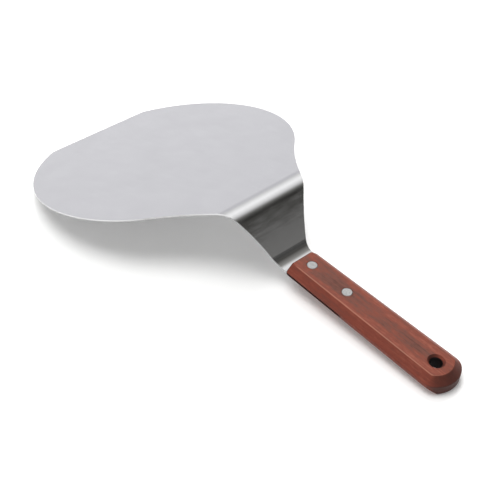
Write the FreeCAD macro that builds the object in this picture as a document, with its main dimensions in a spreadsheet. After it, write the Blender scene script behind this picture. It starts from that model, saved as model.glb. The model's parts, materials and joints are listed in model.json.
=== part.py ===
import FreeCAD, Part
import math
import os
import Sketcher
from FreeCAD import Placement, Rotation, Vector

# Pizza peel: one bent stainless sheet (blade, neck and tang) in the sawn kerf of a bevelled
# hardwood handle, held by two flush cutler's rivets. It lies bottom side up like a low arch,
# on the blade's front edge and the rear end of the handle.
#
# Every piece is drawn in the handle's own frame: the origin is on the front face of the wood
# in the middle of the sheet, +X runs to the rear end of the handle and +Z out of its top face.
# stand_on_floor() then turns and lifts all of them together.

driving_dimensions = {
    # sheet
    "sheet_thickness": 1.2,
    "tang_length": 62.0,            # from the front face of the wood to the end of the tang
    "tang_half_width": 17.4,
    "tang_flat": 2.2,               # flat sheet between the wood and the lower bend
    "lower_bend_radius": 16.8,      # bends are measured on the middle of the sheet
    "lower_bend_angle": 51.9,
    "neck_length": 39.5,
    "upper_bend_radius": 16.0,
    "upper_bend_angle": 69.6,
    "blade_radius": 127.0,
    "blade_centre_run": 138.5,      # from the end of the upper bend to the centre of the round
    "front_edge_run": 113.5,        # from the centre of the round to the straight front edge
    "front_corner_radius": 16.0,
    "shoulder_radius": 255.0,       # hollow edge that runs from the neck into the round
    "shoulder_half_width": 42.5,    # in the middle of the upper bend
    "flare_radius": 30.0,           # small hollow where the parallel tang starts to widen
    "flare_run": 13.7,              # from the foot of the neck to the start of the flare
    # handle
    "handle_length": 172.4,
    "handle_thickness": 15.6,
    "front_half_width": 18.2,
    "rear_half_width": 20.2,        # where the rear corners start
    "rear_corner_radius": 12.0,
    "rear_end_radius": 24.0,
    "bevel_across": 6.8,
    "bevel_down": 6.3,
    "lower_round": 2.0,             # eased edges of the underside, whose rear has no bevel
    "ridge_radius": 2.0,            # eased edge between top face and bevel
    "waist_radius": 1.0,            # eased edge between bevel and side band
    "front_round": 2.6,
    "kerf_height": 1.5,
    "kerf_length": 64.5,
    "hole_position": 151.9,
    "hole_radius": 5.5,
    "hole_countersink": 1.9,
    # rivets
    "front_rivet_position": 13.4,
    "rear_rivet_position": 54.8,
    "rivet_head_radius": 4.8,
    "rivet_head_depth": 1.6,
    "rivet_head_proud": 0.1,
    "rivet_rim": 0.5,
    "rivet_tube_radius": 2.5,
    "rivet_pin_radius": 1.7,
    "rivet_tube_reach": 5.4,        # below the middle of the sheet
    "rivet_pin_reach": 4.4,         # above the middle of the sheet
    "rivet_socket_depth": 5.0,
}

trim_margin = 12.0                  # how far the trimming pockets reach outside the sheet
centre_overlap = 2.0                # a half outline runs this far past the centre line
bend_overlap = 2.0                  # the blade's pocket runs this far past the upper bend's middle
plane_overlap = 2.0                 # the lower bevels' pocket reaches this far outside the bar
saw_run_in = 2.0                    # the kerf's pocket starts this far in front of the wood
behind_front = 1.0                  # edges that reach further back than this miss the front face
tiny = 0.01

half_bend_rule = "dims.upper_bend_radius * sin(dims.upper_bend_angle * 0.5 deg)"


def add_dimension_sheet(doc):
    sheet = doc.addObject("Spreadsheet::Sheet", "dims")
    for row, (name, value) in enumerate(driving_dimensions.items(), start=1):
        sheet.set("A%d" % row, name)
        sheet.set("B%d" % row, str(value))
        sheet.setAlias("B%d" % row, name)
    doc.recompute()
    return sheet


def origin_plane(body, role):
    for feature in body.Origin.OriginFeatures:
        if feature.Role == role:
            return feature
    raise ValueError(role)


def new_body(doc, name):
    body = doc.addObject("PartDesign::Body", name)
    body.Label = name
    return body


def new_sketch(body, name, role, offset=None):
    sketch = body.newObject("Sketcher::SketchObject", name)
    sketch.AttachmentSupport = [(origin_plane(body, role), "")]
    sketch.MapMode = "FlatFace"
    if offset is not None:
        sketch.AttachmentOffset = offset
    return sketch


def size(sketch, expression, kind, *where):
    """Add a driving constraint whose value is an expression on the dimension sheet."""
    start_value = where[-1]
    index = sketch.addConstraint(Sketcher.Constraint(kind, *where[:-1], start_value))
    sketch.setExpression("Constraints[%d]" % index, expression)


def relate(sketch, kind, *where):
    sketch.addConstraint(Sketcher.Constraint(kind, *where))


def close_chain(sketch, edges):
    """Join the end of each edge to the start of the next."""
    for first, second in zip(edges, edges[1:]):
        relate(sketch, "Coincident", first, 2, second, 1)


def line(sketch, start, end):
    return sketch.addGeometry(Part.LineSegment(Vector(*start, 0), Vector(*end, 0)), False)


def arc(sketch, centre, radius, start_angle, end_angle):
    circle = Part.Circle(Vector(*centre, 0), Vector(0, 0, 1), radius)
    return sketch.addGeometry(Part.ArcOfCircle(circle, start_angle, end_angle), False)


def angle_to(centre, point):
    return math.atan2(point[1] - centre[1], point[0] - centre[0])


def sheet_stations(dims):
    """Corners of the sheet's middle line, side on, as (x, z) from the wood to the front edge."""
    rise = math.radians(dims.lower_bend_angle)
    fall = rise - math.radians(dims.upper_bend_angle)
    bend_start = (-dims.tang_flat, 0.0)
    neck_start = (
        bend_start[0] - dims.lower_bend_radius * math.sin(rise),
        dims.lower_bend_radius * (1 - math.cos(rise)),
    )
    neck_end = (
        neck_start[0] - dims.neck_length * math.cos(rise),
        neck_start[1] + dims.neck_length * math.sin(rise),
    )
    blade_start = (
        neck_end[0] - dims.upper_bend_radius * (math.sin(rise) - math.sin(fall)),
        neck_end[1] + dims.upper_bend_radius * (math.cos(fall) - math.cos(rise)),
    )
    centre_run = dims.blade_centre_run
    half_bend = dims.upper_bend_radius * math.sin(math.radians(dims.upper_bend_angle / 2))
    blade_centre = (
        blade_start[0] - centre_run * math.cos(fall),
        blade_start[1] + centre_run * math.sin(fall),
    )
    front_edge = (
        blade_centre[0] - dims.front_edge_run * math.cos(fall),
        blade_centre[1] + dims.front_edge_run * math.sin(fall),
    )
    return {
        "rise": rise, "fall": fall, "bend_start": bend_start, "neck_start": neck_start,
        "neck_end": neck_end, "blade_start": blade_start, "blade_centre": blade_centre,
        "front_edge": front_edge, "half_bend": half_bend,
    }


def draw_side_line(body, dims, stations):
    """Middle line of the bent sheet: tang, lower bend, neck, upper bend, blade."""
    rise, fall = stations["rise"], stations["fall"]
    lower, upper = dims.lower_bend_radius, dims.upper_bend_radius
    bend_start, neck_end = stations["bend_start"], stations["neck_end"]
    lower_centre = (bend_start[0], lower)
    upper_centre = (neck_end[0] - upper * math.sin(rise), neck_end[1] - upper * math.cos(rise))
    sketch = new_sketch(body, "side_line", "XZ_Plane")
    tang = line(sketch, (dims.tang_length, 0.0), bend_start)
    lower_bend = arc(sketch, lower_centre, lower, math.pi * 1.5 - rise, math.pi * 1.5)
    neck = line(sketch, stations["neck_start"], neck_end)
    upper_bend = arc(sketch, upper_centre, upper, math.pi / 2 - rise, math.pi / 2 - fall)
    blade = line(sketch, stations["blade_start"], stations["front_edge"])
    relate(sketch, "Horizontal", tang)
    relate(sketch, "PointOnObject", tang, 1, -1)
    relate(sketch, "Tangent", tang, 2, lower_bend, 2)
    relate(sketch, "Tangent", lower_bend, 1, neck, 1)
    relate(sketch, "Tangent", neck, 2, upper_bend, 1)
    relate(sketch, "Tangent", upper_bend, 2, blade, 1)
    size(sketch, "dims.tang_length", "DistanceX", -1, 1, tang, 1, dims.tang_length)
    size(sketch, "dims.tang_flat", "DistanceX", tang, 2, -1, 1, dims.tang_flat)
    size(sketch, "dims.lower_bend_radius", "Radius", lower_bend, lower)
    size(sketch, "dims.lower_bend_angle * 1 deg", "Angle", lower_bend, rise)
    size(sketch, "dims.neck_length", "Distance", neck, dims.neck_length)
    size(sketch, "dims.upper_bend_radius", "Radius", upper_bend, upper)
    size(sketch, "dims.upper_bend_angle * 1 deg", "Angle", upper_bend, rise - fall)
    blade_length = dims.blade_centre_run + dims.front_edge_run
    size(sketch, "dims.blade_centre_run + dims.front_edge_run", "Distance", blade, blade_length)
    return sketch


def draw_rectangle(sketch, low, high):
    corners = [low, (high[0], low[1]), high, (low[0], high[1])]
    sides = [line(sketch, corners[i], corners[(i + 1) % 4]) for i in range(4)]
    for i in range(4):
        relate(sketch, "Coincident", sides[i], 2, sides[(i + 1) % 4], 1)
        relate(sketch, "Vertical" if i % 2 else "Horizontal", sides[i])
    return sides


def draw_strip_section(body, dims):
    """Cross-section of the strip that the outline is later cut from."""
    offset = Placement(Vector(0, 0, dims.tang_length), Rotation())
    sketch = new_sketch(body, "strip_section", "YZ_Plane", offset)
    sketch.setExpression("AttachmentOffset.Base.z", "dims.tang_length")
    half_width = dims.blade_radius + trim_margin / 2
    half_height = dims.sheet_thickness / 2
    sides = draw_rectangle(sketch, (-half_width, -half_height), (half_width, half_height))
    relate(sketch, "Symmetric", sides[0], 1, sides[2], 1, -1, 1)
    width_rule = "2 * dims.blade_radius + %s" % trim_margin
    size(sketch, width_rule, "DistanceX", sides[0], 1, sides[0], 2, 2 * half_width)
    size(sketch, "dims.sheet_thickness", "DistanceY", sides[1], 1, sides[1], 2, 2 * half_height)
    return sketch


def plane_at(point, angle):
    """Sketch position tilted about Y, with sketch X pointing towards the handle."""
    turn = Rotation(Vector(0, 1, 0), math.degrees(angle))
    return Placement(Vector(point[0], 0, point[1]), turn)


def meeting_point(first, first_distance, second, second_distance):
    """Point at two given distances from two others, on the left of the line between them."""
    span = math.dist(first, second)
    along = (first_distance ** 2 - second_distance ** 2 + span ** 2) / (2 * span)
    across = math.sqrt(first_distance ** 2 - along ** 2)
    step_x = (second[0] - first[0]) / span
    step_y = (second[1] - first[1]) / span
    x = first[0] + along * step_x - across * step_y
    y = first[1] + along * step_y + across * step_x
    return (x, y)


def draw_blade_edge(body, dims, stations):
    """What is cut away beside half the blade, up to the upper bend's middle.

    The sketch's origin is the centre of the round.
    """
    offset = plane_at(stations["blade_centre"], stations["fall"])
    sketch = new_sketch(body, "blade_edge", "XY_Plane", offset)
    big, corner, hollow = dims.blade_radius, dims.front_corner_radius, dims.shoulder_radius
    centre = (0.0, 0.0)
    shoulder = (dims.blade_centre_run + stations["half_bend"], dims.shoulder_half_width)
    corner_x = corner - dims.front_edge_run
    corner_centre = (corner_x, math.sqrt((big - corner) ** 2 - corner_x ** 2))
    hollow_centre = meeting_point(centre, big + hollow, shoulder, hollow)
    meet = angle_to(centre, hollow_centre)
    shoulder_angle = angle_to(hollow_centre, shoulder) + 2 * math.pi
    corner_angle = angle_to(centre, corner_centre)
    outer = big + trim_margin
    front_x = -dims.front_edge_run
    hollow_edge = arc(sketch, hollow_centre, hollow, meet + math.pi, shoulder_angle)
    round_edge = arc(sketch, centre, big, meet, corner_angle)
    corner_edge = arc(sketch, corner_centre, corner, corner_angle, math.pi)
    front = line(sketch, (front_x, corner_centre[1]), (front_x, -centre_overlap))
    below = line(sketch, (front_x, -centre_overlap), (-outer, -centre_overlap))
    far = line(sketch, (-outer, -centre_overlap), (-outer, outer))
    back_x = shoulder[0] + bend_overlap
    side = line(sketch, (-outer, outer), (back_x, outer))
    back = line(sketch, (back_x, outer), (back_x, shoulder[1]))
    lap = line(sketch, (back_x, shoulder[1]), shoulder)
    relate(sketch, "Coincident", round_edge, 3, -1, 1)
    relate(sketch, "Tangent", hollow_edge, 1, round_edge, 1)
    relate(sketch, "Tangent", round_edge, 2, corner_edge, 1)
    relate(sketch, "Tangent", corner_edge, 2, front, 1)
    close_chain(sketch, [front, below, far, side, back, lap])
    relate(sketch, "Coincident", lap, 2, hollow_edge, 2)
    for edge in (far, back):
        relate(sketch, "Vertical", edge)
    for edge in (below, side, lap):
        relate(sketch, "Horizontal", edge)
    size(sketch, "dims.blade_radius", "Radius", round_edge, big)
    size(sketch, "dims.front_corner_radius", "Radius", corner_edge, corner)
    size(sketch, "dims.shoulder_radius", "Radius", hollow_edge, hollow)
    size(sketch, "dims.front_edge_run", "DistanceX", front, 2, -1, 1, dims.front_edge_run)
    size(sketch, "dims.blade_centre_run + " + half_bend_rule, "DistanceX",
         -1, 1, lap, 2, shoulder[0])
    size(sketch, "dims.shoulder_half_width", "DistanceY", -1, 1, lap, 2, shoulder[1])
    size(sketch, str(bend_overlap), "DistanceX", lap, 2, lap, 1, bend_overlap)
    size(sketch, str(centre_overlap), "DistanceY", front, 2, -1, 1, centre_overlap)
    outer_rule = "dims.blade_radius + %s" % trim_margin
    size(sketch, outer_rule, "DistanceX", far, 2, -1, 1, outer)
    size(sketch, outer_rule, "DistanceY", -1, 1, far, 2, outer)
    return sketch


def draw_neck_edge(body, dims, stations):
    """What is cut away beside half the neck and tang, from the upper bend's middle.

    The sketch's origin is the foot of the neck.
    """
    offset = plane_at(stations["neck_start"], stations["rise"])
    sketch = new_sketch(body, "neck_edge", "XY_Plane", offset)
    flare, hollow = dims.flare_radius, dims.shoulder_radius
    shoulder = (-dims.neck_length - stations["half_bend"], dims.shoulder_half_width)
    flare_centre = (dims.flare_run, dims.tang_half_width + flare)
    hollow_centre = meeting_point(shoulder, hollow, flare_centre, hollow - flare)
    shoulder_angle = angle_to(hollow_centre, shoulder) + 2 * math.pi
    meet = angle_to(hollow_centre, flare_centre) + 2 * math.pi
    foot = dims.tang_length + trim_margin
    outer = dims.blade_radius + trim_margin
    tang = line(sketch, (foot, dims.tang_half_width), (dims.flare_run, dims.tang_half_width))
    flare_edge = arc(sketch, flare_centre, flare, meet, math.pi * 1.5)
    hollow_edge = arc(sketch, hollow_centre, hollow, shoulder_angle, meet)
    far = line(sketch, shoulder, (shoulder[0], outer))
    side = line(sketch, (shoulder[0], outer), (foot, outer))
    back = line(sketch, (foot, outer), (foot, dims.tang_half_width))
    relate(sketch, "Tangent", tang, 2, flare_edge, 2)
    relate(sketch, "Tangent", flare_edge, 1, hollow_edge, 2)
    relate(sketch, "Coincident", hollow_edge, 1, far, 1)
    close_chain(sketch, [far, side, back, tang])
    for edge in (tang, side):
        relate(sketch, "Horizontal", edge)
    for edge in (far, back):
        relate(sketch, "Vertical", edge)
    size(sketch, "dims.flare_radius", "Radius", flare_edge, flare)
    size(sketch, "dims.shoulder_radius", "Radius", hollow_edge, hollow)
    size(sketch, "dims.flare_run", "DistanceX", -1, 1, tang, 2, dims.flare_run)
    size(sketch, "dims.tang_half_width", "DistanceY", -1, 1, tang, 2, dims.tang_half_width)
    size(sketch, "dims.neck_length + " + half_bend_rule, "DistanceX",
         far, 1, -1, 1, -shoulder[0])
    size(sketch, "dims.shoulder_half_width", "DistanceY", -1, 1, far, 1, shoulder[1])
    size(sketch, "dims.tang_length + %s" % trim_margin, "DistanceX", -1, 1, back, 2, foot)
    size(sketch, "dims.blade_radius + %s" % trim_margin, "DistanceY", -1, 1, far, 2, outer)
    return sketch


def cut_through(body, sketch, name):
    """Cut right through on both sides of the sketch."""
    pocket = body.newObject("PartDesign::Pocket", name)
    pocket.Profile = sketch
    pocket.Type = "ThroughAll"
    pocket.Midplane = True
    sketch.Visibility = False
    return pocket


def draw_circles(body, name, role, centres, radius_rule, radius, offset=None):
    """Circles on the centre line; centres maps a dimension's name to its value."""
    sketch = new_sketch(body, name, role, offset)
    for rule, x in centres.items():
        circle = sketch.addGeometry(Part.Circle(Vector(x, 0, 0), Vector(0, 0, 1), radius), False)
        relate(sketch, "PointOnObject", circle, 3, -1)
        size(sketch, rule, "DistanceX", -1, 1, circle, 3, x)
        size(sketch, radius_rule, "Radius", circle, radius)
    return sketch


def rivet_centres(dims):
    return {
        "dims.front_rivet_position": dims.front_rivet_position,
        "dims.rear_rivet_position": dims.rear_rivet_position,
    }


def make_peel_sheet(doc, dims, stations):
    """Blade, neck and tang: a strip swept along its side line, then cut to outline."""
    body = new_body(doc, "peel_sheet")
    side_line = draw_side_line(body, dims, stations)
    section = draw_strip_section(body, dims)
    doc.recompute()
    strip = body.newObject("PartDesign::AdditivePipe", "strip")
    strip.Profile = section
    strip.Spine = (side_line, [])
    doc.recompute()
    blade_cut = cut_through(body, draw_blade_edge(body, dims, stations), "blade_cut")
    doc.recompute()
    neck_cut = cut_through(body, draw_neck_edge(body, dims, stations), "neck_cut")
    doc.recompute()
    mirrored = body.newObject("PartDesign::Mirrored", "other_half")
    mirrored.Originals = [blade_cut, neck_cut]
    mirrored.MirrorPlane = (origin_plane(body, "XZ_Plane"), [""])
    body.Tip = mirrored
    doc.recompute()
    holes = draw_circles(body, "tang_holes", "XY_Plane", rivet_centres(dims),
                         "dims.rivet_tube_radius", dims.rivet_tube_radius)
    drill = body.newObject("PartDesign::Pocket", "tang_drilling")
    drill.Profile = holes
    drill.Midplane = True
    drill.setExpression("Length", "dims.handle_thickness")
    doc.recompute()
    return body


def edges_where(shape, test):
    """Names of the edges whose bounding box passes a test."""
    found = []
    for number, edge in enumerate(shape.Edges, start=1):
        if test(edge.BoundBox):
            found.append("Edge%d" % number)
    return found


def rear_corner_centre(dims):
    corner, end = dims.rear_corner_radius, dims.rear_end_radius
    y = dims.rear_half_width - corner
    return (dims.handle_length - end + math.sqrt((end - corner) ** 2 - y ** 2), y)


def side_spread(dims):
    """Angle between the handle's side and its centre line."""
    widening = dims.rear_half_width - dims.front_half_width
    return math.atan2(widening, rear_corner_centre(dims)[0])


def draw_handle_outline(body, dims):
    """Outline at the widest level: sides that spread to the rear, and a rounded rear end."""
    sketch = new_sketch(body, "outline", "XY_Plane")
    corner, end = dims.rear_corner_radius, dims.rear_end_radius
    end_centre = (dims.handle_length - end, 0.0)
    corner_x, corner_y = rear_corner_centre(dims)
    spread = side_spread(dims)
    turn = angle_to(end_centre, (corner_x, corner_y))
    rear = [(corner_x, dims.rear_half_width), (corner_x, -dims.rear_half_width)]
    front = [(0.0, dims.front_half_width), (0.0, -dims.front_half_width)]
    left = line(sketch, front[0], rear[0])
    left_corner = arc(sketch, (corner_x, corner_y), corner, turn, math.pi / 2 + spread)
    rear_end = arc(sketch, end_centre, end, -turn, turn)
    right_corner = arc(sketch, (corner_x, -corner_y), corner, -math.pi / 2 - spread, -turn)
    right = line(sketch, rear[1], front[1])
    face = line(sketch, front[1], front[0])
    relate(sketch, "Tangent", left, 2, left_corner, 2)
    relate(sketch, "Tangent", left_corner, 1, rear_end, 2)
    relate(sketch, "Tangent", rear_end, 1, right_corner, 2)
    relate(sketch, "Tangent", right_corner, 1, right, 1)
    close_chain(sketch, [right, face, left])
    relate(sketch, "Symmetric", face, 1, face, 2, -1)
    relate(sketch, "Symmetric", left, 2, right, 1, -1)
    relate(sketch, "PointOnObject", face, 1, -2)
    relate(sketch, "PointOnObject", rear_end, 3, -1)
    size(sketch, "dims.front_half_width", "DistanceY", -1, 1, face, 2, dims.front_half_width)
    size(sketch, "dims.rear_half_width", "DistanceY", -1, 1, left, 2, dims.rear_half_width)
    size(sketch, "dims.rear_corner_radius", "Radius", left_corner, corner)
    size(sketch, "dims.rear_end_radius", "Radius", rear_end, end)
    size(sketch, "dims.handle_length - dims.rear_end_radius", "DistanceX",
         -1, 1, rear_end, 3, end_centre[0])
    return sketch


def ease(body, kind, name, base, edges, rule):
    """Fillet or Chamfer on named edges of the feature before it."""
    feature = body.newObject("PartDesign::" + kind, name)
    feature.Base = (base, edges)
    feature.setExpression("Radius" if kind == "Fillet" else "Size", rule)
    return feature


def draw_lower_bevel(body, dims):
    """What is planed off below one side: a triangle square to the side, its origin on it."""
    across, down, reach = dims.bevel_across, dims.bevel_down, plane_overlap
    half = dims.handle_thickness / 2
    turn = Rotation(Vector(0, 1, 0), math.degrees(side_spread(dims)))
    offset = Placement(Vector(dims.front_half_width, 0, 0), turn)
    sketch = new_sketch(body, "lower_bevel_section", "YZ_Plane", offset)
    rise = reach * down / across
    outer, foot = (reach, down - half + rise), (-across - reach, -half - rise)
    square = (reach, -half - rise)
    slope = line(sketch, outer, foot)
    below = line(sketch, foot, square)
    beside = line(sketch, square, outer)
    close_chain(sketch, [slope, below, beside, slope])
    relate(sketch, "Horizontal", below)
    relate(sketch, "Vertical", beside)
    size(sketch, str(reach), "DistanceX", -1, 1, beside, 1, reach)
    size(sketch, "dims.bevel_across + %s" % (2 * reach), "DistanceX", below, 1, below, 2,
         across + 2 * reach)
    rise_rule = "%s * dims.bevel_down / dims.bevel_across" % reach
    size(sketch, "dims.handle_thickness / 2 + " + rise_rule, "DistanceY",
         beside, 1, -1, 1, half + rise)
    size(sketch, "dims.bevel_down + 2 * " + rise_rule, "DistanceY", beside, 1, beside, 2,
         down + 2 * rise)
    return sketch


def level_edges(shape, level):
    """Flat edges at one height, without those of the front face."""
    def at_level(box):
        return (abs(box.ZMin - level) < tiny and abs(box.ZMax - level) < tiny
                and box.XMax > behind_front)
    return edges_where(shape, at_level)


def shape_handle_edges(doc, body, dims, bar):
    """Bevels below the sides, and above round the rear as well; then every edge is eased."""
    half = dims.handle_thickness / 2
    band = half - dims.bevel_down
    planed = cut_through(body, draw_lower_bevel(body, dims), "lower_bevel")
    doc.recompute()
    lower = body.newObject("PartDesign::Mirrored", "other_lower_bevel")
    lower.Originals = [planed]
    lower.MirrorPlane = (origin_plane(body, "XZ_Plane"), [""])
    body.Tip = lower
    doc.recompute()
    bevels = ease(body, "Chamfer", "upper_bevels", lower, level_edges(lower.Shape, half),
                  "dims.bevel_down")
    bevels.ChamferType = "Two distances"
    bevels.setExpression("Size2", "dims.bevel_across")
    doc.recompute()
    ridge = level_edges(bevels.Shape, half)
    ridges = ease(body, "Fillet", "ridges", bevels, ridge, "dims.ridge_radius")
    doc.recompute()
    waist = level_edges(ridges.Shape, band)
    waists = ease(body, "Fillet", "waists", ridges, waist, "dims.waist_radius")
    doc.recompute()
    under = edges_where(waists.Shape,
                        lambda box: box.ZMax < tiny - band and box.XMax > behind_front)
    underside = ease(body, "Fillet", "underside_edges", waists, under, "dims.lower_round")
    doc.recompute()
    front = edges_where(underside.Shape, lambda box: box.XMax < tiny)
    ease(body, "Fillet", "front_end", underside, front, "dims.front_round")
    doc.recompute()


def cut_kerf(doc, body, dims):
    """Saw kerf for the tang, from the front end, right across the handle."""
    sketch = new_sketch(body, "kerf_outline", "XZ_Plane")
    half = dims.kerf_height / 2
    sides = draw_rectangle(sketch, (-saw_run_in, -half), (dims.kerf_length, half))
    size(sketch, "dims.kerf_height / 2", "DistanceY", -1, 1, sides[1], 2, half)
    size(sketch, "dims.kerf_length", "DistanceX", -1, 1, sides[1], 1, dims.kerf_length)
    size(sketch, "dims.kerf_height", "DistanceY", sides[1], 1, sides[1], 2, 2 * half)
    size(sketch, str(saw_run_in), "DistanceX", sides[0], 1, -1, 1, saw_run_in)
    cut_through(body, sketch, "kerf")
    doc.recompute()


def cut_holes(doc, body, dims):
    """Rivet bores with seats for the heads, and the countersunk hanging hole."""
    half = dims.handle_thickness / 2
    bores = draw_circles(body, "bore_circles", "XY_Plane", rivet_centres(dims),
                         "dims.rivet_tube_radius", dims.rivet_tube_radius)
    cut_through(body, bores, "rivet_bores")
    hole = draw_circles(body, "hole_circle", "XY_Plane", {"dims.hole_position": dims.hole_position},
                        "dims.hole_radius", dims.hole_radius)
    hanging_hole = cut_through(body, hole, "hanging_hole")
    doc.recompute()

    def round_the_hole(box):
        flat = box.ZMax - box.ZMin < tiny
        centred = abs((box.XMin + box.XMax) / 2 - dims.hole_position) < tiny
        return flat and centred and abs(box.YMax - dims.hole_radius) < tiny

    mouth = edges_where(hanging_hole.Shape, round_the_hole)
    ease(body, "Chamfer", "countersinks", hanging_hole, mouth, "dims.hole_countersink")
    doc.recompute()
    for name, side in (("upper_seats", 1), ("lower_seats", -1)):
        offset = Placement(Vector(0, 0, side * half), Rotation())
        seats = draw_circles(body, name + "_circles", "XY_Plane", rivet_centres(dims),
                             "dims.rivet_head_radius", dims.rivet_head_radius, offset)
        seats.setExpression("AttachmentOffset.Base.z", "%d * dims.handle_thickness / 2" % side)
        pocket = body.newObject("PartDesign::Pocket", name)
        pocket.Profile = seats
        pocket.Reversed = side < 0
        pocket.setExpression("Length", "dims.rivet_head_depth")
        seats.Visibility = False
        doc.recompute()


def make_handle(doc, dims):
    """Bevelled hardwood bar with a rounded rear end, kerf, rivet bores and hanging hole."""
    body = new_body(doc, "handle")
    outline = draw_handle_outline(body, dims)
    bar = body.newObject("PartDesign::Pad", "bar")
    bar.Profile = outline
    bar.Midplane = True
    bar.setExpression("Length", "dims.handle_thickness")
    doc.recompute()
    shape_handle_edges(doc, body, dims, bar)
    cut_kerf(doc, body, dims)
    cut_holes(doc, body, dims)
    return body


def turn_profile(doc, name, corners):
    """A turned piece from the (radius, height) corners of half its section."""
    body = new_body(doc, name)
    sketch = new_sketch(body, name + "_section", "XZ_Plane")
    starts = [(radius[0], height[0]) for radius, height in corners]
    sides = [line(sketch, start, end) for start, end in zip(starts, starts[1:] + starts[:1])]
    close_chain(sketch, sides + sides[:1])
    for side, (radius, height) in zip(sides, corners):
        if radius[0] > 0:
            size(sketch, radius[1], "DistanceX", -1, 1, side, 1, radius[0])
        else:
            relate(sketch, "PointOnObject", side, 1, -2)
        if height[0] > 0:
            size(sketch, height[1], "DistanceY", -1, 1, side, 1, height[0])
        else:
            size(sketch, "-(%s)" % height[1], "DistanceY", side, 1, -1, 1, -height[0])
    turned = body.newObject("PartDesign::Revolution", name + "_turned")
    turned.Profile = sketch
    turned.ReferenceAxis = (sketch, ["V_Axis"])
    turned.Angle = 360
    doc.recompute()
    return body


def make_rivet(doc, dims, place):
    """Cutler's rivet in two halves: a headed tube from above and a headed pin from below."""
    top = dims.handle_thickness / 2 + dims.rivet_head_proud
    seat = dims.handle_thickness / 2 - dims.rivet_head_depth
    head, rim = dims.rivet_head_radius, dims.rivet_rim
    on_axis = (0.0, "0")
    head_rule, rim_rule = "dims.rivet_head_radius", "dims.rivet_head_radius - dims.rivet_rim"
    top_rule = "dims.handle_thickness / 2 + dims.rivet_head_proud"
    edge_rule = top_rule + " - dims.rivet_rim"
    seat_rule = "dims.handle_thickness / 2 - dims.rivet_head_depth"
    tube = (dims.rivet_tube_radius, "dims.rivet_tube_radius")
    pin = (dims.rivet_pin_radius, "dims.rivet_pin_radius")
    tube_end = (-dims.rivet_tube_reach, "-dims.rivet_tube_reach")
    socket_end = (dims.rivet_socket_depth, "dims.rivet_socket_depth")
    pin_end = (dims.rivet_pin_reach, "dims.rivet_pin_reach")
    tube_half = turn_profile(doc, place + "_rivet_tube", [
        (on_axis, (top, top_rule)),
        ((head - rim, rim_rule), (top, top_rule)),
        ((head, head_rule), (top - rim, edge_rule)),
        ((head, head_rule), (seat, seat_rule)),
        (tube, (seat, seat_rule)),
        (tube, tube_end),
        (pin, tube_end),
        (pin, socket_end),
        (on_axis, socket_end),
    ])
    pin_half = turn_profile(doc, place + "_rivet_pin", [
        (on_axis, (-top, "-(%s)" % top_rule)),
        ((head - rim, rim_rule), (-top, "-(%s)" % top_rule)),
        ((head, head_rule), (rim - top, "-(%s)" % edge_rule)),
        ((head, head_rule), (-seat, "-(%s)" % seat_rule)),
        (pin, (-seat, "-(%s)" % seat_rule)),
        (pin, pin_end),
        (on_axis, pin_end),
    ])
    return [tube_half, pin_half]


def floor_turn(dims, stations):
    """Turn about Y that brings the blade's front edge and the handle's rear end level."""
    fall = stations["fall"]
    half = dims.sheet_thickness / 2
    front = stations["front_edge"]
    blade_foot = (front[0] + half * math.sin(fall), front[1] - half * math.cos(fall))
    handle_foot = (dims.handle_length - dims.lower_round, -dims.handle_thickness / 2)
    return math.atan2(handle_foot[1] - blade_foot[1], handle_foot[0] - blade_foot[0])


def stand_on_floor(bodies, shifts, turn):
    """Turn the pieces onto their two contacts, then centre them over the origin."""
    rotation = Rotation(Vector(0, 1, 0), math.degrees(turn))
    for body in bodies:
        along = Vector(shifts.get(body.Label, 0), 0, 0)
        body.Placement = Placement(rotation.multVec(along), rotation)
    box = Part.makeCompound([body.Shape for body in bodies]).optimalBoundingBox(False)
    shift = Vector(-(box.XMin + box.XMax) / 2, -(box.YMin + box.YMax) / 2, -box.ZMin)
    for body in bodies:
        body.Placement = Placement(body.Placement.Base + shift, rotation)
    return shift


def check_objects(doc, bodies):
    for item in doc.Objects:
        if "Invalid" in item.State or "Error" in item.State:
            raise RuntimeError("failed object: " + item.Name)
    for body in bodies:
        if body.Shape.isNull() or not body.Shape.isValid():
            raise RuntimeError("bad shape: " + body.Label)
        shape = body.Shape
        print("%-18s %2d solid, %8.0f mm3" % (body.Label, len(shape.Solids), shape.Volume))


def main():
    doc = FreeCAD.newDocument("pizza_peel")
    dims = add_dimension_sheet(doc)
    stations = sheet_stations(dims)
    bodies = [make_peel_sheet(doc, dims, stations), make_handle(doc, dims)]
    rivets = {"front": dims.front_rivet_position, "rear": dims.rear_rivet_position}
    shifts = {}
    for place, position in rivets.items():
        for half in make_rivet(doc, dims, place):
            shifts[half.Label] = position
            bodies.append(half)
    turn = floor_turn(dims, stations)
    shift = stand_on_floor(bodies, shifts, turn)
    doc.recompute()
    check_objects(doc, bodies)
    box = Part.makeCompound([body.Shape for body in bodies]).optimalBoundingBox(False)
    print("turn %.3f deg, shift %s" % (math.degrees(turn), shift))
    print("box x %.2f..%.2f  y %.2f..%.2f  z %.3f..%.2f" % (
        box.XMin, box.XMax, box.YMin, box.YMax, box.ZMin, box.ZMax))
    os.makedirs("parts", exist_ok=True)
    for body in bodies:
        body.Shape.exportStep("parts/%s.step" % body.Label)


main()
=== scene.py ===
import json
import math

import bpy
from mathutils import Matrix, Vector


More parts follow.
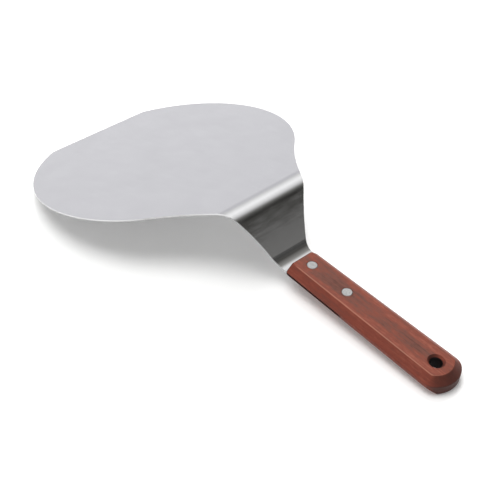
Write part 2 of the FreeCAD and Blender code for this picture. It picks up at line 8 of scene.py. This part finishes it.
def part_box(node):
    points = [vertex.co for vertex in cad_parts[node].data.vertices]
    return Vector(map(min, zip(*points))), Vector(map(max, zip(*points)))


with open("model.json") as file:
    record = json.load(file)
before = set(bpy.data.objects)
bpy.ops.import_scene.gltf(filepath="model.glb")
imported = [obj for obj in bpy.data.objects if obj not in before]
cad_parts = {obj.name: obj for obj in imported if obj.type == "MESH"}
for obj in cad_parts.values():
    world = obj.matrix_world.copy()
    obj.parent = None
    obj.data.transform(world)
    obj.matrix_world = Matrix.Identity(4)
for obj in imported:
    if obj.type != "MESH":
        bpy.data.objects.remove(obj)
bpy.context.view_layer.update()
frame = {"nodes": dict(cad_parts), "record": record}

# Pizza peel, bottom side up: one brushed stainless sheet, a red hardwood handle and two
# cutler's rivets. The CAD pieces keep their shapes; this script gives them their finishes,
# the studio round them and the camera.

mm = 0.001
nodes = frame["nodes"]
print("loaded", ", ".join(sorted(nodes)))

# the hanging hole is bored square to the handle's faces, so its axis gives the handle's tilt
hole = next(m for m in frame["record"]["mounts"] if m["name"] == "hanging_hole")
handleTilt = math.atan2(hole["axis"][0], hole["axis"][2])
holeCentre = Matrix.Rotation(-handleTilt, 3, "Y") @ Vector(hole["pos_m"])
holeRadius = hole["dims"]["r_mm"] * mm
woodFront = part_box("handle")[0].x


# sRGB hex to the linear colour a shader takes
def linearColour(hexText):
    channels = [int(hexText[i:i + 2], 16) / 255 for i in (1, 3, 5)]
    linear = [c / 12.92 if c <= 0.04045 else ((c + 0.055) / 1.055) ** 2.4 for c in channels]
    return (*linear, 1.0)


# Adds one node. A setting is an input socket (by name or number), a ramp's stops or a node
# property; a link joins an input socket to the output given for it.
def addNode(tree, kind, settings=None, links=None):
    node = tree.nodes.new("ShaderNode" + kind)
    for name, value in (settings or {}).items():
        if name == "stops":
            ramp = node.color_ramp.elements
            while len(ramp) < len(value):
                ramp.new(1.0)
            for element, (position, colour) in zip(ramp, value):
                element.position = position
                element.color = colour
        elif isinstance(name, str) and name not in node.inputs:
            setattr(node, name, value)
        else:
            node.inputs[name].default_value = value
    for name, source in (links or {}).items():
        tree.links.new(source, node.inputs[name])
    return node


def newMaterial(name):
    material = bpy.data.materials.new(name)
    material.use_nodes = True
    material.node_tree.nodes.clear()
    return material, material.node_tree


sheet = {
    "colour": "#CACACB",
    "streakColour": "#C4C4C5",
    "streakStops": (0.35, 0.65),
    "roughness": 0.17,
    "roughnessSpread": 0.07,
    "anisotropy": 0.6,
    "brushedAcross": (0.02, 1.0, 0.02),  # reflections smear across the blade
    "lineWidth": 0.9 * mm,      # real scratches are about 0.1 mm; drawn coarser so they show
    "lineLength": 45 * mm,
    "lineDepth": 0.006 * mm,
    "lineRelief": 0.25,
    "cloudSize": 30 * mm,
    # painted shade: a darker band down the neck under the upper bend, fading out in ragged streaks
    "neckPaintedShade": "#8B8A88",
    "neckShadeWidth": 27 * mm,
    "neckShadeRagged": 36 * mm,
    "neckShadeSlope": (0.55, 0.74),        # slopes are the X of the surface's normal
    "shadeStreakSize": (20 * mm, 4 * mm),        # its streaks run along the bends
    # painted shade in the bend beside the wood, darker than the neck's
    "lowerBendPaintedShade": "#737270",
    "lowerBendShadeReach": (17 * mm, 13 * mm),
    "lowerBendShadeSlope": (0.10, 0.36),
    "lowerBendShadeTop": (0.78, 0.60),
    # painted shade on the tang where it runs into the handle's kerf
    "kerfStain": "#2A1A16",
    "kerfStainReach": (0.5 * mm, 2.5 * mm),
}


# Stainless steel, cold rolled and brushed lengthwise with a fine belt: a soft grey mirror,
# blurred across the blade and crisp along it, with faint lines and a slight cloudiness, and
# painted shade down the neck, in the bend beside the wood and on the tang inside the handle.
def brushedStainless():
    material, tree = newMaterial("stainlessSheetBrushed")
    place = addNode(tree, "TexCoord").outputs["Object"]
    position = addNode(tree, "SeparateXYZ", {}, {"Vector": place}).outputs
    normal = addNode(tree, "NewGeometry").outputs["Normal"]
    slope = addNode(tree, "SeparateXYZ", {}, {"Vector": normal}).outputs["X"]

    alongScale, acrossScale = 1 / sheet["lineLength"], 1 / sheet["lineWidth"]
    stretched = addNode(tree, "Mapping", {"Scale": (alongScale, acrossScale, alongScale)},
                        {"Vector": place}).outputs["Vector"]
    lines = addNode(tree, "TexNoise", {"Scale": 1.0, "Detail": 4.0, "Roughness": 0.65},
                    {"Vector": stretched}).outputs["Fac"]
    clouds = addNode(tree, "TexNoise", {"Scale": 1 / sheet["cloudSize"], "Detail": 3.0},
                     {"Vector": place}).outputs["Fac"]
    marks = addNode(tree, "Mix", {"data_type": "FLOAT", "Factor": 0.5},
                    {2: lines, 3: clouds}).outputs[0]
    streaks, plain = sheet["streakStops"]
    tint = addNode(tree, "ValToRGB", {"stops": [
        (streaks, linearColour(sheet["streakColour"])),
        (plain, linearColour(sheet["colour"])),
    ]}, {"Fac": marks}).outputs["Color"]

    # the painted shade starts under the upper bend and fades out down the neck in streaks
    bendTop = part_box("peel_sheet")[1].z
    shadeStreakLength, shadeStreakWidth = sheet["shadeStreakSize"]
    alongBend = addNode(tree, "Mapping", {"Scale": (1 / shadeStreakWidth, 1 / shadeStreakLength, 1 / shadeStreakWidth)},
                        {"Vector": place}).outputs["Vector"]
    shadeStreaks = addNode(tree, "TexNoise", {"Scale": 1.0, "Detail": 3.0},
                   {"Vector": alongBend}).outputs["Fac"]
    ragged = addNode(tree, "Math", {"operation": "MULTIPLY_ADD", 1: sheet["neckShadeRagged"]},
                     {0: shadeStreaks, 2: position["Z"]}).outputs[0]
    paintedReach = addNode(tree, "MapRange", {
        "interpolation_type": "SMOOTHSTEP",
        "From Min": bendTop - sheet["neckShadeWidth"] + sheet["neckShadeRagged"] / 2,
        "From Max": bendTop + sheet["neckShadeRagged"] / 2,
    }, {"Value": ragged}).outputs["Result"]
    gentle, steep = sheet["neckShadeSlope"]
    onNeck = addNode(tree, "MapRange", {"From Min": gentle, "From Max": steep},
                     {"Value": slope}).outputs["Result"]
    neckShade = addNode(tree, "Math", {"operation": "MULTIPLY"}, {0: paintedReach, 1: onNeck}).outputs[0]

    # the painted shade in the lower bend ends at a bright strip in front of the wood
    farEnd, nearEnd = sheet["lowerBendShadeReach"]
    beside = addNode(tree, "MapRange", {
        "From Min": woodFront - farEnd, "From Max": woodFront - nearEnd,
    }, {"Value": position["X"]}).outputs["Result"]
    bendStart, bendFull = sheet["lowerBendShadeSlope"]
    inBend = addNode(tree, "MapRange", {
        "interpolation_type": "SMOOTHSTEP", "From Min": bendStart, "From Max": bendFull,
    }, {"Value": slope}).outputs["Result"]
    neckStart, neckClear = sheet["lowerBendShadeTop"]
    belowNeck = addNode(tree, "MapRange", {"From Min": neckStart, "From Max": neckClear},
                        {"Value": slope}).outputs["Result"]
    lowerBendShade = beside
    for limit in (inBend, belowNeck):
        lowerBendShade = addNode(tree, "Math", {"operation": "MULTIPLY"},
                           {0: lowerBendShade, 1: limit}).outputs[0]

    # painted shade on the tang from just inside the wood's front face
    tangShadeStart, tangShadeFull = sheet["kerfStainReach"]
    inWood = addNode(tree, "MapRange", {
        "From Min": woodFront + tangShadeStart, "From Max": woodFront + tangShadeFull,
    }, {"Value": position["X"]}).outputs["Result"]
    # each mask lays its painted shade over the steel's own tint
    masks = {"neckPaintedShade": neckShade, "lowerBendPaintedShade": lowerBendShade, "kerfStain": inWood}
    for colour, mask in masks.items():
        tint = addNode(tree, "Mix", {"data_type": "RGBA", 7: linearColour(sheet[colour])},
                       {0: mask, 6: tint}).outputs[2]

    low = sheet["roughness"] - sheet["roughnessSpread"] / 2
    rough = addNode(tree, "MapRange", {
        "From Min": 0.3, "From Max": 0.7, "To Min": low, "To Max": low + sheet["roughnessSpread"],
    }, {"Value": marks}).outputs["Result"]
    relief = addNode(tree, "Bump", {
        "Strength": sheet["lineRelief"], "Distance": sheet["lineDepth"],
    }, {"Height": lines}).outputs["Normal"]
    across = addNode(tree, "CombineXYZ", dict(zip("XYZ", sheet["brushedAcross"])))
    shader = addNode(tree, "BsdfPrincipled", {
        "Metallic": 1.0, "Anisotropic": sheet["anisotropy"],
    }, {"Base Color": tint, "Roughness": rough, "Normal": relief,
        "Tangent": across.outputs["Vector"]})
    addNode(tree, "OutputMaterial", {}, {"Surface": shader.outputs["BSDF"]})
    return material


handle = {
    "darkBrown": "#4A2920",     # also the pores
    "greyBrown": "#633D33",
    "redBrown": "#783D2F",
    "lightStreak": "#8C5141",
    "figureStops": (0.34, 0.45, 0.54, 0.66),
    "roughness": 0.55,
    "roughnessSpread": (-0.06, 0.08),
    "sheen": 0.25,              # thin oil film, so less gloss than bare lacquer
    "patchSize": (60 * mm, 9 * mm),      # broad changes from red to greyer brown
    "streakSize": (55 * mm, 1.9 * mm),   # growth rings where they meet the faces
    "fibreSize": (11 * mm, 0.9 * mm),    # real fibres are under 0.1 mm; drawn coarser to show
    "mottleSize": (5 * mm, 2.6 * mm),    # ripple in the grain
    "poreSize": (5 * mm, 0.5 * mm),
    "poreStops": (0.60, 0.72),
    "poreShare": 0.55,
    "fibreDepth": 0.08 * mm,
    "fibreRelief": 0.3,
    "wander": 3 * mm,
    "wanderLength": 60 * mm,
    # a greyer heart down the middle
    "heartHalf": 6 * mm,
    "heartFade": 3 * mm,
    "heartShift": (0.03, -0.025),        # outside it, inside it
    # bevels planed down into redder wood; levels are 1 on the faces and 0 on the sides
    "planedRed": "#6E2F24",
    "planedLevel": (0.92, 0.78),
    "planedShare": 0.4,
    # painted highlight on the eased ridges, known by their level between the faces' and the
    # bevels'
    "paintedRidgeHighlight": "#B07A66",
    "ridgeHighlightShare": 0.55,
    "ridgeLow": (0.76, 0.84),
    "ridgeHigh": (0.995, 0.96),
    "highlightStart": (3 * mm, 9 * mm),       # behind the front face
    "highlightSideways": (0.45, 0.12),
    "highlightSide": (0.2, -0.1),
    "leastHighlight": 0.15,
    # end grain, darker where it drinks the oil and deepened with painted shade
    "endGrainAndPaintedShade": "#3B201A",
    "endFacing": (0.20, 0.75),
    "endShare": 0.85,
    # painted shade in the kerf and the bore
    "kerfPaintedShade": "#2B100D",
    "kerfHalf": 0.9 * mm,
    "kerfLength": 65 * mm,
    "kerfEndFade": 1 * mm,
    "borePaintedShade": "#140B0A",
    "cutFade": 0.2 * mm,
}


# Red hardwood, sanded and lightly oiled: lengthwise streaks of red and greyer brown, fine
# fibres and short dark pores, darker on the end grain where it drinks the oil and deepened there
# with painted shade, a painted highlight along the near ridges, painted shade in the kerf and
# the hanging hole, and a low sheen.
def oiledHardwood():
    material, tree = newMaterial("redHardwoodOiled")
    place = addNode(tree, "TexCoord").outputs["Object"]
    aligned = addNode(tree, "Mapping", {"Rotation": (0, -handleTilt, 0)},
                      {"Vector": place}).outputs["Vector"]
    position = addNode(tree, "SeparateXYZ", {}, {"Vector": aligned}).outputs
    normal = addNode(tree, "NewGeometry").outputs["Normal"]

    # the grain wanders a little from side to side along the handle
    drift = addNode(tree, "TexNoise", {"Scale": 1 / handle["wanderLength"], "Detail": 1.0},
                    {"Vector": aligned}).outputs["Color"]
    drift = addNode(tree, "VectorMath", {"operation": "SUBTRACT", 1: (0.5, 0.5, 0.5)},
                    {0: drift}).outputs[0]
    drift = addNode(tree, "VectorMath", {
        "operation": "MULTIPLY", 1: (0, handle["wander"], handle["wander"])},
        {0: drift}).outputs[0]
    grainPlace = addNode(tree, "VectorMath", {"operation": "ADD"},
                         {0: aligned, 1: drift}).outputs[0]
    layers = {}
    for name, detail in (("patch", 2.0), ("streak", 4.0), ("fibre", 3.0), ("mottle", 3.0),
                         ("pore", 1.0)):
        length, width = handle[name + "Size"]
        stretched = addNode(tree, "Mapping", {"Scale": (1 / length, 1 / width, 1 / width)},
                            {"Vector": grainPlace}).outputs["Vector"]
        layers[name] = addNode(tree, "TexNoise", {"Scale": 1.0, "Detail": detail},
                               {"Vector": stretched}).outputs["Fac"]
    figure = layers["patch"]
    for name, share in (("streak", 0.42), ("fibre", 0.32), ("mottle", 0.18)):
        figure = addNode(tree, "Mix", {"data_type": "FLOAT", "Factor": share},
                         {2: figure, 3: layers[name]}).outputs[0]
    side = addNode(tree, "SeparateXYZ", {}, {"Vector": grainPlace}).outputs["Y"]
    offCentre = addNode(tree, "Math", {"operation": "ABSOLUTE"}, {0: side}).outputs[0]
    outside, inside = handle["heartShift"]
    heart = addNode(tree, "MapRange", {
        "interpolation_type": "SMOOTHSTEP",
        "From Min": handle["heartHalf"] + handle["heartFade"],
        "From Max": handle["heartHalf"] - handle["heartFade"],
        "To Min": outside, "To Max": inside,
    }, {"Value": offCentre}).outputs["Result"]
    figure = addNode(tree, "Math", {"operation": "ADD"}, {0: figure, 1: heart}).outputs[0]
    shades = ("darkBrown", "greyBrown", "redBrown", "lightStreak")
    wood = addNode(tree, "ValToRGB", {"stops": [
        (stop, linearColour(handle[shade])) for stop, shade in zip(handle["figureStops"], shades)
    ]}, {"Fac": figure}).outputs["Color"]

    # level tells faces, bevels and sides apart, and facing tells end grain from the rest
    outward = (math.sin(handleTilt), 0, math.cos(handleTilt))
    lengthwise = (math.cos(handleTilt), 0, -math.sin(handleTilt))
    shapes = []
    for axis in (outward, lengthwise):
        shape = addNode(tree, "VectorMath", {"operation": "DOT_PRODUCT", 1: axis},
                        {0: normal}).outputs["Value"]
        shapes.append(addNode(tree, "Math", {"operation": "ABSOLUTE"}, {0: shape}).outputs[0])
    level, facing = shapes
    # the kerf is known by its height, and the bore by the distance from the hole's axis
    offMiddle = addNode(tree, "Math", {"operation": "SUBTRACT", 1: holeCentre.z},
                        {0: position["Z"]}).outputs[0]
    offMiddle = addNode(tree, "Math", {"operation": "ABSOLUTE"}, {0: offMiddle}).outputs[0]
    fromHole = addNode(tree, "VectorMath", {"operation": "SUBTRACT", 1: holeCentre},
                       {0: aligned}).outputs[0]
    fromHole = addNode(tree, "VectorMath", {"operation": "MULTIPLY", 1: (1, 1, 0)},
                       {0: fromHole}).outputs[0]
    fromHole = addNode(tree, "VectorMath", {"operation": "LENGTH"}, {0: fromHole}).outputs["Value"]
    acrossNormal = addNode(tree, "SeparateXYZ", {}, {"Vector": normal}).outputs["Y"]

    # what is measured, where the mask starts and is full, and its least and greatest share
    # the painted highlight on the ridges starts just behind the front face
    highlightStart, highlightFull = (woodFront + reach for reach in handle["highlightStart"])
    kerfEnd = woodFront + handle["kerfLength"]
    ranges = {
        "pores": (layers["pore"], *handle["poreStops"], 0.0, handle["poreShare"]),
        "planed": (level, *handle["planedLevel"], 0.0, handle["planedShare"]),
        "aboveBevel": (level, *handle["ridgeLow"], 0.0, 1.0),
        "belowFace": (level, *handle["ridgeHigh"], 0.0, 1.0),
        "behindFront": (position["X"], highlightStart, highlightFull, 0.0, handle["ridgeHighlightShare"]),
        "sideways": (facing, *handle["highlightSideways"], 0.0, 1.0),
        "paintedReach": (acrossNormal, *handle["highlightSide"], handle["leastHighlight"], 1.0),
        "ends": (facing, *handle["endFacing"], 0.0, handle["endShare"]),
        "sawn": (position["X"], kerfEnd + handle["kerfEndFade"], kerfEnd, 0.0, 1.0),
        "inKerf": (offMiddle, handle["kerfHalf"] + handle["cutFade"], handle["kerfHalf"],
                   0.0, 1.0),
        "bore": (fromHole, holeRadius + handle["cutFade"], holeRadius, 0.0, 1.0),
    }
    masks = {}
    for name, (measure, start, full, least, most) in ranges.items():
        masks[name] = addNode(tree, "MapRange", {
            "From Min": start, "From Max": full, "To Min": least, "To Max": most,
        }, {"Value": measure}).outputs["Result"]
    # a painted highlight on the near ridges, and painted shade on the kerf's sawn walls
    products = {
        "ridgeHighlight": ("aboveBevel", "belowFace", "behindFront", "sideways", "paintedReach"),
        "kerf": ("sawn", "inKerf"),
    }
    for name, (first, *others) in products.items():
        masks[name] = masks[first]
        for other in others:
            masks[name] = addNode(tree, "Math", {"operation": "MULTIPLY"},
                                  {0: masks[name], 1: masks[other]}).outputs[0]
    # pores, redder bevels, the painted ridge highlight, end grain with painted shade, and painted
    # shade in the kerf and the bore
    coats = (("pores", "darkBrown"), ("planed", "planedRed"), ("ridgeHighlight", "paintedRidgeHighlight"),
             ("ends", "endGrainAndPaintedShade"), ("kerf", "kerfPaintedShade"), ("bore", "borePaintedShade"))
    for mask, colour in coats:
        wood = addNode(tree, "Mix", {"data_type": "RGBA", 7: linearColour(handle[colour])},
                       {0: masks[mask], 6: wood}).outputs[2]

    smoother, rougher = handle["roughnessSpread"]
    rough = addNode(tree, "MapRange", {
        "From Min": 0.3, "From Max": 0.7,
        "To Min": handle["roughness"] + smoother, "To Max": handle["roughness"] + rougher,
    }, {"Value": layers["fibre"]}).outputs["Result"]
    relief = addNode(tree, "Bump", {
        "Strength": handle["fibreRelief"], "Distance": handle["fibreDepth"],
    }, {"Height": layers["fibre"]}).outputs["Normal"]
    shader = addNode(tree, "BsdfPrincipled", {
        "IOR": 1.5, "Specular IOR Level": handle["sheen"],
    }, {"Base Color": wood, "Roughness": rough, "Normal": relief})
    addNode(tree, "OutputMaterial", {}, {"Surface": shader.outputs["BSDF"]})
    return material


rivet = {
    "colour": "#B9B9B8",
    "scuffColour": "#A6A6A5",
    "roughness": 0.36,
    "scuffStops": (0.35, 0.65),
    "scuffSize": 1.6 * mm,
    "scuffDepth": 0.03 * mm,
    "scuffRelief": 0.3,
}


# Aluminium rivets, pressed home and ground flush: a satin grey disc with cloudy scuffs
# and a brighter broken edge.
def satinAluminium():
    material, tree = newMaterial("aluminiumRivetSatin")
    place = addNode(tree, "TexCoord").outputs["Object"]
    scuffs = addNode(tree, "TexNoise", {"Scale": 1 / rivet["scuffSize"], "Detail": 4.0},
                     {"Vector": place}).outputs["Fac"]
    scuffed, plain = rivet["scuffStops"]
    tint = addNode(tree, "ValToRGB", {"stops": [
        (scuffed, linearColour(rivet["scuffColour"])),
        (plain, linearColour(rivet["colour"])),
    ]}, {"Fac": scuffs}).outputs["Color"]
    relief = addNode(tree, "Bump", {
        "Strength": rivet["scuffRelief"], "Distance": rivet["scuffDepth"],
    }, {"Height": scuffs}).outputs["Normal"]
    shader = addNode(tree, "BsdfPrincipled", {"Metallic": 1.0, "Roughness": rivet["roughness"]},
                     {"Base Color": tint, "Normal": relief})
    addNode(tree, "OutputMaterial", {}, {"Surface": shader.outputs["BSDF"]})
    return material


finishes = {
    "stainless_sheet": brushedStainless(),
    "hardwood": oiledHardwood(),
    "rivet_metal": satinAluminium(),
}
for part in frame["record"]["subparts"]:
    for slot in nodes[part["node"]].material_slots:
        slot.material = finishes[part["material_slot"]]


studio = {
    "floorSize": 9.0,
    "floorColour": "#F2F2F1",
    "floorRoughness": (0.85, 0.95),
    "floorGrain": 33 * mm,
    "floorGlow": 0.15,       # lit from below like a light table
    "farGlow": 0.9,          # and brighter far away, seen by the camera only
    "farReach": (0.5, 1.6),
    "softboxes": {           # direction, distance, diameter, power
        "overheadSoftbox": ((-0.14, -0.16, 0.97), 1.6, 1.15, 18.0),
        "farSoftbox": ((-0.45, 0.50, 0.74), 1.8, 1.2, 20.0),
    },
    "fill": (0.588, 0.252),  # on the blade's side of the room and on the handle's
    "sideReflection": 0.6,
    "sideReach": (-0.1, 0.3),
    "warm": (1.0, 0.99, 0.96), "plain": (1.0, 1.0, 1.0), "cool": (1.0, 0.995, 1.035),
    # what the metal mirrors, by angle up from the handle's side: brightness and tone
    "panels": {
        0: (0.29, "warm"), 18: (0.28, "warm"), 24: (0.10, "warm"), 38: (0.11, "warm"),
        49: (0.22, "warm"), 58: (0.42, "warm"), 66: (0.68, "plain"), 74: (0.98, "plain"),
        82: (1.27, "plain"), 90: (1.46, "plain"), 98: (1.52, "plain"), 108: (1.45, "plain"),
        118: (1.24, "plain"), 130: (0.98, "plain"), 140: (0.87, "cool"), 150: (0.86, "cool"),
        162: (1.02, "cool"), 180: (1.04, "cool"),
    },
}


# White sweep paper, uncoated: even and without shine, so it shows only the soft shadow.
def sweepPaper():
    material, tree = newMaterial("sweepPaperMatt")
    place = addNode(tree, "TexCoord").outputs["Object"]
    mottle = addNode(tree, "TexNoise", {"Scale": 1 / studio["floorGrain"]},
                     {"Vector": place}).outputs["Fac"]
    smooth, rougher = studio["floorRoughness"]
    rough = addNode(tree, "MapRange", {"To Min": smooth, "To Max": rougher},
                    {"Value": mottle}).outputs["Result"]
    away = addNode(tree, "VectorMath", {"operation": "LENGTH"}, {0: place}).outputs["Value"]
    farStart, farFull = studio["farReach"]
    glow = addNode(tree, "MapRange", {
        "interpolation_type": "SMOOTHSTEP",
        "From Min": farStart, "From Max": farFull,
        "To Min": studio["floorGlow"], "To Max": studio["farGlow"],
    }, {"Value": away}).outputs["Result"]
    seen = addNode(tree, "LightPath").outputs["Is Camera Ray"]
    glow = addNode(tree, "Mix", {"data_type": "FLOAT", 2: studio["floorGlow"]},
                   {0: seen, 3: glow}).outputs[0]
    shader = addNode(tree, "BsdfPrincipled", {
        "Base Color": linearColour(studio["floorColour"]), "Specular IOR Level": 0.0,
        "Emission Color": (1, 1, 1, 1),
    }, {"Roughness": rough, "Emission Strength": glow})
    addNode(tree, "OutputMaterial", {}, {"Surface": shader.outputs["BSDF"]})
    return material


def makeFloor():
    half = studio["floorSize"] / 2
    corners = [(-half, -half, 0), (half, -half, 0), (half, half, 0), (-half, half, 0)]
    mesh = bpy.data.meshes.new("sweepFloor")
    mesh.from_pydata(corners, [], [(0, 1, 2, 3)])
    mesh.materials.append(sweepPaper())
    floor = bpy.data.objects.new("sweepFloor", mesh)
    bpy.context.scene.collection.objects.link(floor)


def makeSoftboxes():
    for name, (direction, distance, diameter, power) in studio["softboxes"].items():
        direction = Vector(direction).normalized()
        light = bpy.data.lights.new(name, "AREA")
        light.shape = "DISK"
        light.size = diameter
        light.energy = power
        lamp = bpy.data.objects.new(name, light)
        lamp.location = direction * distance
        lamp.rotation_mode = "QUATERNION"
        lamp.rotation_quaternion = direction.to_track_quat("Z", "Y")
        lamp.visible_camera = False
        lamp.visible_glossy = False      # the metal mirrors the panels of the surroundings
        bpy.context.scene.collection.objects.link(lamp)


# Surroundings: white to look at, a soft fill on matt surfaces that fades towards the handle,
# and for the metal long light panels over the blade with a dark gap over the handle.
def makeSurroundings():
    world = bpy.data.worlds.new("studio")
    world.use_nodes = True
    tree = world.node_tree
    tree.nodes.clear()
    direction = addNode(tree, "TexCoord").outputs["Generated"]
    parts = addNode(tree, "SeparateXYZ", {}, {"Vector": direction}).outputs
    turn = addNode(tree, "Math", {"operation": "ARCTAN2"}, {0: parts["Z"], 1: parts["X"]})
    height = addNode(tree, "Math", {"operation": "DIVIDE", 1: math.pi}, {0: turn.outputs[0]})
    stops = [(angle / 180, (*(level / 2 * channel for channel in studio[tone]), 1.0))
             for angle, (level, tone) in studio["panels"].items()]
    panels = addNode(tree, "ValToRGB", {"stops": stops}, {"Fac": height.outputs[0]})
    nearSide, farSide = studio["sideReach"]
    far = addNode(tree, "MapRange", {"From Min": nearSide, "From Max": farSide},
                  {"Value": parts["Y"]})
    side = studio["sideReflection"] / 2
    mirrored = addNode(tree, "Mix", {"data_type": "RGBA", 6: (side, side, side, 1)},
                       {0: far.outputs["Result"], 7: panels.outputs["Color"]}).outputs[2]
    ray = addNode(tree, "LightPath").outputs
    white = addNode(tree, "Background", {"Color": (1, 1, 1, 1), "Strength": 1.0})
    bladeSide, handleSide = studio["fill"]
    fade = addNode(tree, "MapRange", {
        "From Min": -1.0, "From Max": 1.0, "To Min": bladeSide, "To Max": handleSide,
    }, {"Value": parts["X"]})
    fill = addNode(tree, "Background", {"Color": (1, 1, 1, 1)},
                   {"Strength": fade.outputs["Result"]})
    gloss = addNode(tree, "Background", {"Strength": 2.0}, {"Color": mirrored})
    lit = addNode(tree, "MixShader", {}, {0: ray["Is Glossy Ray"], 1: fill.outputs[0],
                                          2: gloss.outputs[0]})
    seen = addNode(tree, "MixShader", {}, {0: ray["Is Camera Ray"], 1: lit.outputs[0],
                                           2: white.outputs[0]})
    addNode(tree, "OutputWorld", {}, {"Surface": seen.outputs[0]})
    bpy.context.scene.world = world


makeFloor()
makeSoftboxes()
makeSurroundings()
bpy.context.scene.view_settings.view_transform = "Standard"
print("studio built")


view = {
    "azimuth": 47.024,       # degrees, like the next two
    "elevation": 40.723,
    "roll": 1.313,
    "distance": 0.86404,
    "aim": (29.196 * mm, -28.242 * mm, 26.095 * mm),
    "lens": 72.0,
    "sensor": 36.0,
}


def makeCamera():
    turn, rise = math.radians(view["azimuth"]), math.radians(view["elevation"])
    back = Vector((math.sin(turn) * math.cos(rise), -math.cos(turn) * math.cos(rise),
                   math.sin(rise)))
    data = bpy.data.cameras.new("camera")
    data.lens = view["lens"]
    data.sensor_width = view["sensor"]
    camera = bpy.data.objects.new("camera", data)
    camera.matrix_world = (
        Matrix.Translation(Vector(view["aim"]) + back * view["distance"])
        @ Matrix.Rotation(turn, 4, "Z")
        @ Matrix.Rotation(math.pi / 2 - rise, 4, "X")
        @ Matrix.Rotation(math.radians(view["roll"]), 4, "Z")
    )
    bpy.context.scene.collection.objects.link(camera)
    bpy.context.scene.camera = camera


makeCamera()
print("camera placed")
bpy.context.view_layer.update()
